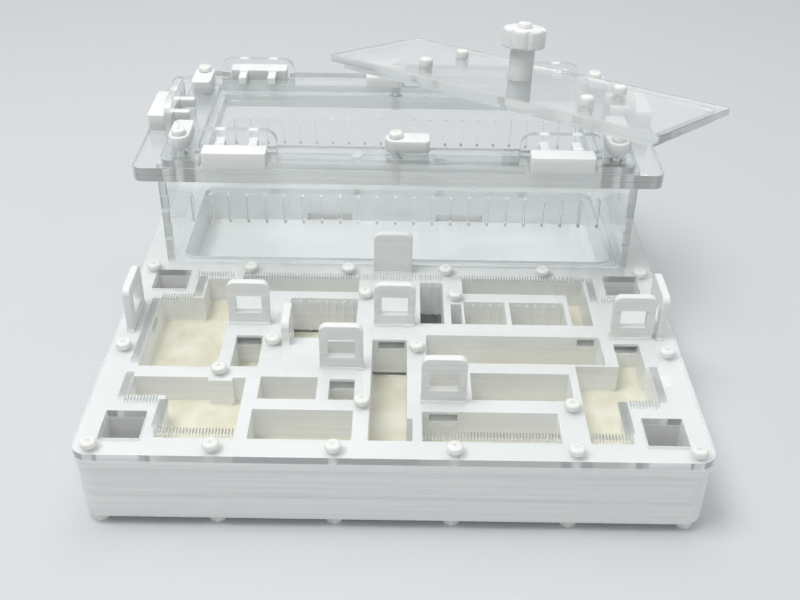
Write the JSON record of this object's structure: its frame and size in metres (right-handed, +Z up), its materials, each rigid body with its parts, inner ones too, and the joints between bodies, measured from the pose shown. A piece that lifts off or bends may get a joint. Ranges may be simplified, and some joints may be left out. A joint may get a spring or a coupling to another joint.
{
  "type": "ant habitat",
  "caption": "White ant nest of small plaster-floored rooms under a clear vented plate, with lift gates, and a clear raised arena with turn latches and a lift-off lid",
  "frame": {"origin": "on the plane under the feet, below the middle of the whole outline with the lid lying askew", "axes": "+X to the right, +Y to the back where the arena stands, +Z up"},
  "size_m": [0.2452, 0.2374, 0.1294],
  "materials": {
    "white_print": "matte white printed plastic with fine layer lines",
    "gloss_white": "smooth glossy white plastic",
    "plaster": "dry cream plaster, very slightly grainy",
    "clear_acrylic": "clear laser-cut acrylic sheet with polished edges",
    "nylon": "milky natural nylon"
  },
  "bodies": {
    "habitat": {"base_tray": "white_print", "tray_posts": "white_print", "nest_front_left": "white_print", "nest_front_middle": "white_print", "nest_back_left": "white_print", "nest_back_middle": "white_print", "nest_corridor": "white_print", "nest_front_right": "white_print", "nest_right": "white_print", "nest_long_room": "white_print", "nest_cells": "white_print", "nest_arena_bed": "white_print", "arena_basin": "gloss_white", "plaster_left_room": "plaster", "plaster_front_left_room": "plaster", "plaster_right_room": "plaster", "plaster_deep_floors": "plaster", "plaster_thin_floors": "plaster", "cover_plate": "clear_acrylic", "front_screws": "nylon", "middle_screws": "nylon", "back_screws": "nylon", "cover_nuts": "nylon", "arena_front_wall": "clear_acrylic", "arena_back_wall": "clear_acrylic", "arena_left_wall": "clear_acrylic", "arena_right_wall": "clear_acrylic", "flange_lower": "clear_acrylic", "flange_upper": "clear_acrylic", "guide_frame": "clear_acrylic", "latch_screws": "nylon", "latch_nuts": "nylon"},
    "gate_back_left": {"gate_back_left": "white_print"},
    "gate_back_middle": {"gate_back_middle": "white_print"},
    "gate_arena": {"gate_arena": "white_print"},
    "gate_middle": {"gate_middle": "white_print"},
    "gate_front_right": {"gate_front_right": "white_print"},
    "gate_right": {"gate_right": "white_print"},
    "gate_left_edge": {"gate_left_edge": "white_print"},
    "gate_right_edge": {"gate_right_edge": "white_print"},
    "gate_inner_left": {"gate_inner_left": "white_print"},
    "lock_front_left": {"lock_front_left": "white_print"},
    "lock_front_right": {"lock_front_right": "white_print"},
    "lock_back_left": {"lock_back_left": "white_print"},
    "lock_back_right": {"lock_back_right": "white_print"},
    "lock_left": {"lock_left": "white_print"},
    "lock_right": {"lock_right": "white_print"},
    "latch_front": {"latch_front": "white_print"},
    "latch_back": {"latch_back": "white_print"},
    "latch_front_left": {"latch_front_left": "white_print"},
    "latch_front_right": {"latch_front_right": "white_print"},
    "latch_back_left": {"latch_back_left": "white_print"},
    "latch_back_right": {"latch_back_right": "white_print"},
    "lid": {"lid_plate": "clear_acrylic", "lid_inner_plate": "clear_acrylic", "lid_screws": "nylon", "knob_stem": "white_print", "knob_grip": "white_print", "knob_screw": "nylon"}
  },
  "joints": [
    {"name": "gate_back_left_lift", "type": "slide", "parent": "habitat", "child": "gate_back_left", "axis": [0, 0, -1], "range_m": [0, 0.0115]},
    {"name": "gate_back_middle_lift", "type": "slide", "parent": "habitat", "child": "gate_back_middle", "axis": [0, 0, -1], "range_m": [0, 0.0115]},
    {"name": "gate_arena_lift", "type": "slide", "parent": "habitat", "child": "gate_arena", "axis": [0, 0, -1], "range_m": [0, 0.0115]},
    {"name": "gate_middle_lift", "type": "slide", "parent": "habitat", "child": "gate_middle", "axis": [0, 0, -1], "range_m": [0, 0.0115]},
    {"name": "gate_front_right_lift", "type": "slide", "parent": "habitat", "child": "gate_front_right", "axis": [0, 0, -1], "range_m": [0, 0.0115]},
    {"name": "gate_right_lift", "type": "slide", "parent": "habitat", "child": "gate_right", "axis": [0, 0, -1], "range_m": [0, 0.0115]},
    {"name": "gate_left_edge_lift", "type": "slide", "parent": "habitat", "child": "gate_left_edge", "axis": [0, 0, -1], "range_m": [0, 0.0115]},
    {"name": "gate_right_edge_lift", "type": "slide", "parent": "habitat", "child": "gate_right_edge", "axis": [0, 0, -1], "range_m": [0, 0.0115]},
    {"name": "gate_inner_left_lift", "type": "slide", "parent": "habitat", "child": "gate_inner_left", "axis": [0, 0, 1], "range_m": [-0.002, 0.0095]},
    {"name": "lock_front_left_pull", "type": "slide", "parent": "habitat", "child": "lock_front_left", "axis": [0, -1, 0], "range_m": [0, 0.0092]},
    {"name": "lock_front_right_pull", "type": "slide", "parent": "habitat", "child": "lock_front_right", "axis": [0, -1, 0], "range_m": [0, 0.0092]},
    {"name": "lock_back_left_pull", "type": "slide", "parent": "habitat", "child": "lock_back_left", "axis": [0, 1, 0], "range_m": [0, 0.0092]},
    {"name": "lock_back_right_pull", "type": "slide", "parent": "habitat", "child": "lock_back_right", "axis": [0, 1, 0], "range_m": [0, 0.0092]},
    {"name": "lock_left_pull", "type": "slide", "parent": "habitat", "child": "lock_left", "axis": [-1, 0, 0], "range_m": [0, 0.0092]},
    {"name": "lock_right_pull", "type": "slide", "parent": "habitat", "child": "lock_right", "axis": [1, 0, 0], "range_m": [0, 0.0092]},
    {"name": "latch_front_turn", "type": "hinge", "parent": "habitat", "child": "latch_front", "pos_m": [-0.01281, 0.01146, 0.0894], "axis": [0, 0, 1], "range_deg": [0, 90]},
    {"name": "latch_back_turn", "type": "hinge", "parent": "habitat", "child": "latch_back", "pos_m": [-0.01341, 0.07966, 0.0894], "axis": [0, 0, 1], "range_deg": [0, 90]},
    {"name": "latch_front_left_turn", "type": "hinge", "parent": "habitat", "child": "latch_front_left", "pos_m": [-0.10211, 0.01146, 0.0894], "axis": [0, 0, -1], "range_deg": [0, 75]},
    {"name": "latch_front_right_turn", "type": "hinge", "parent": "habitat", "child": "latch_front_right", "pos_m": [0.07889, 0.01146, 0.0894], "axis": [0, 0, 1], "range_deg": [0, 75]},
    {"name": "latch_back_left_turn", "type": "hinge", "parent": "habitat", "child": "latch_back_left", "pos_m": [-0.10211, 0.07966, 0.0894], "axis": [0, 0, 1], "range_deg": [0, 75]},
    {"name": "latch_back_right_turn", "type": "hinge", "parent": "habitat", "child": "latch_back_right", "pos_m": [0.07889, 0.07966, 0.0894], "axis": [0, 0, -1], "range_deg": [0, 75]},
    {"name": "lid_lift", "type": "slide", "parent": "habitat", "child": "lid", "axis": [0, 0, 1], "range_m": [0, 0.08]}
  ]
}
